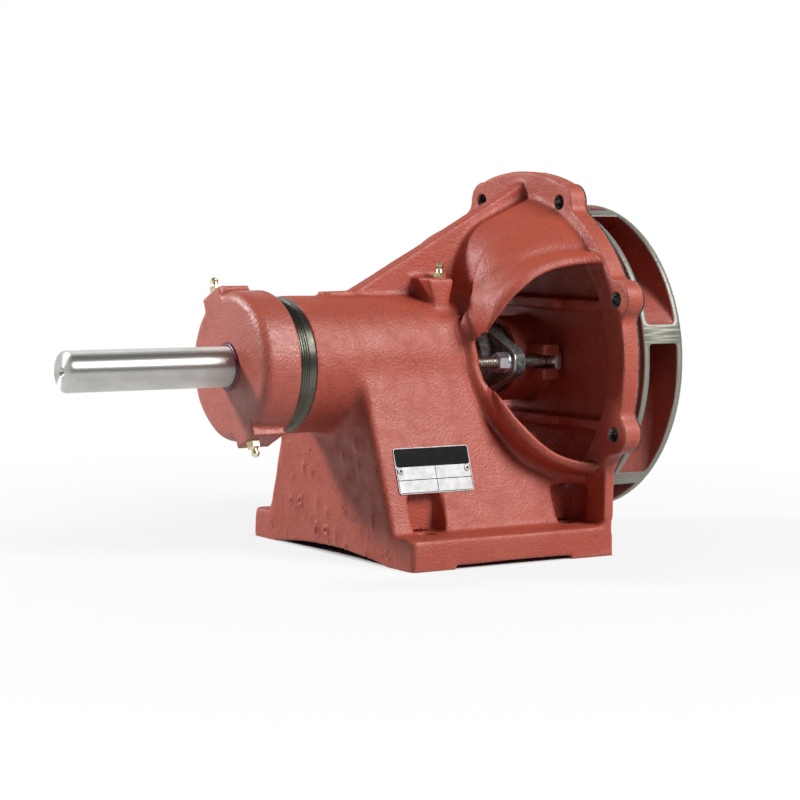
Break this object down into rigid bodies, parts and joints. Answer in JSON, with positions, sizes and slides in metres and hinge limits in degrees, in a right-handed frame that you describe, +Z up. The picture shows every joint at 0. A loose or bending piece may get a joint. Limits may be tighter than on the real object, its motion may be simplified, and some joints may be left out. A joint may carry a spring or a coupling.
{
  "type": "pump powerhead",
  "caption": "Bearing bracket, shaft, packed stuffing box and shrouded impeller of an end suction pump, on a cast foot, with a bare drive shaft end.",
  "frame": {"origin": "centre of the volute bolt circle, on the flange face that the volute bolts to, on the shaft axis", "axes": "+X along the shaft from the drive end to the impeller, +Z up, -Y the nameplate side"},
  "size_m": [0.5148, 0.2912, 0.3072],
  "materials": {
    "red_paint": "sand cast iron under brushed-on brick red enamel",
    "impeller_paint": "red primer on cast iron, bare machined rims",
    "shaft_steel": "ground and lightly brushed",
    "bearing_steel": "ground",
    "cage_brass": "pressed",
    "dark_steel": "oiled spring steel",
    "plain_steel": "rolled thread, light rust",
    "zinc_steel": "bright zinc plated",
    "fitting_zinc": "yellow zinc plated",
    "sleeve_bronze": "turned",
    "gland_iron": "black painted casting",
    "seal_rubber": "moulded",
    "packing": "graphite braid",
    "gasket": "sheet",
    "plate_aluminium": "satin, black band printed at the top"
  },
  "bodies": {
    "bracket": {"bracket": "red_paint", "inner_seal": "seal_rubber", "packing_rings": "packing", "gland_bolts": "plain_steel", "volute_gasket": "gasket", "bracket_grease_fitting": "fitting_zinc", "nameplate": "plate_aluminium", "plate_rivets": "plate_aluminium"},
    "cartridge": {"outboard_outer_race": "bearing_steel", "inboard_outer_race": "bearing_steel"},
    "cap": {"bearing_cap": "red_paint", "cap_seal": "seal_rubber", "cap_retaining_ring": "dark_steel", "cap_grease_fittings": "fitting_zinc"},
    "rotor": {"shaft": "shaft_steel", "shaft_snap_rings": "dark_steel", "outboard_inner_race": "bearing_steel", "inboard_inner_race": "bearing_steel", "slinger": "seal_rubber", "shaft_sleeve": "sleeve_bronze", "impeller": "impeller_paint", "impeller_front_shroud": "impeller_paint", "impeller_key": "plain_steel", "impeller_washer": "zinc_steel", "impeller_bolt": "zinc_steel"},
    "outboard_cage": {"outboard_balls": "bearing_steel", "outboard_cage": "cage_brass"},
    "inboard_cage": {"inboard_balls": "bearing_steel", "inboard_cage": "cage_brass"},
    "gland": {"gland": "gland_iron", "gland_lock_washers": "zinc_steel"},
    "gland_nut_near": {"gland_nut_near": "zinc_steel"},
    "gland_nut_far": {"gland_nut_far": "zinc_steel"}
  },
  "joints": [
    {"name": "cap_feed", "type": "slide", "parent": "bracket", "child": "cartridge", "axis": [1, 0, 0], "range_m": [-0.00318, 0.00318]},
    {"name": "cap_turn", "type": "hinge", "parent": "cartridge", "child": "cap", "pos_m": [-0.28, 0, 0], "axis": [1, 0, 0], "range_deg": [-540, 540]},
    {"name": "shaft_spin", "type": "hinge", "parent": "cartridge", "child": "rotor", "pos_m": [0, 0, 0], "axis": [1, 0, 0], "continuous": true},
    {"name": "outboard_cage_spin", "type": "hinge", "parent": "cartridge", "child": "outboard_cage", "pos_m": [-0.2685, 0, 0], "axis": [1, 0, 0], "continuous": true},
    {"name": "inboard_cage_spin", "type": "hinge", "parent": "cartridge", "child": "inboard_cage", "pos_m": [-0.1265, 0, 0], "axis": [1, 0, 0], "continuous": true},
    {"name": "gland_slide", "type": "slide", "parent": "bracket", "child": "gland", "axis": [1, 0, 0], "range_m": [-0.0095, 0]},
    {"name": "near_nut_turn", "type": "hinge", "parent": "gland", "child": "gland_nut_near", "pos_m": [-0.067, -0.046, 0], "axis": [1, 0, 0], "range_deg": [-2160, 0]},
    {"name": "far_nut_turn", "type": "hinge", "parent": "gland", "child": "gland_nut_far", "pos_m": [-0.067, 0.046, 0], "axis": [1, 0, 0], "range_deg": [-2160, 0]}
  ],
  "couplings": [
    {"joint": "cap_feed", "follows": "cap_turn", "m_per_rad": 0.00033693},
    {"joint": "outboard_cage_spin", "follows": "shaft_spin", "ratio": 0.38522},
    {"joint": "inboard_cage_spin", "follows": "shaft_spin", "ratio": 0.38522},
    {"joint": "near_nut_turn", "follows": "gland_slide", "rad_per_m": 3957.9},
    {"joint": "far_nut_turn", "follows": "gland_slide", "rad_per_m": 3957.9}
  ]
}
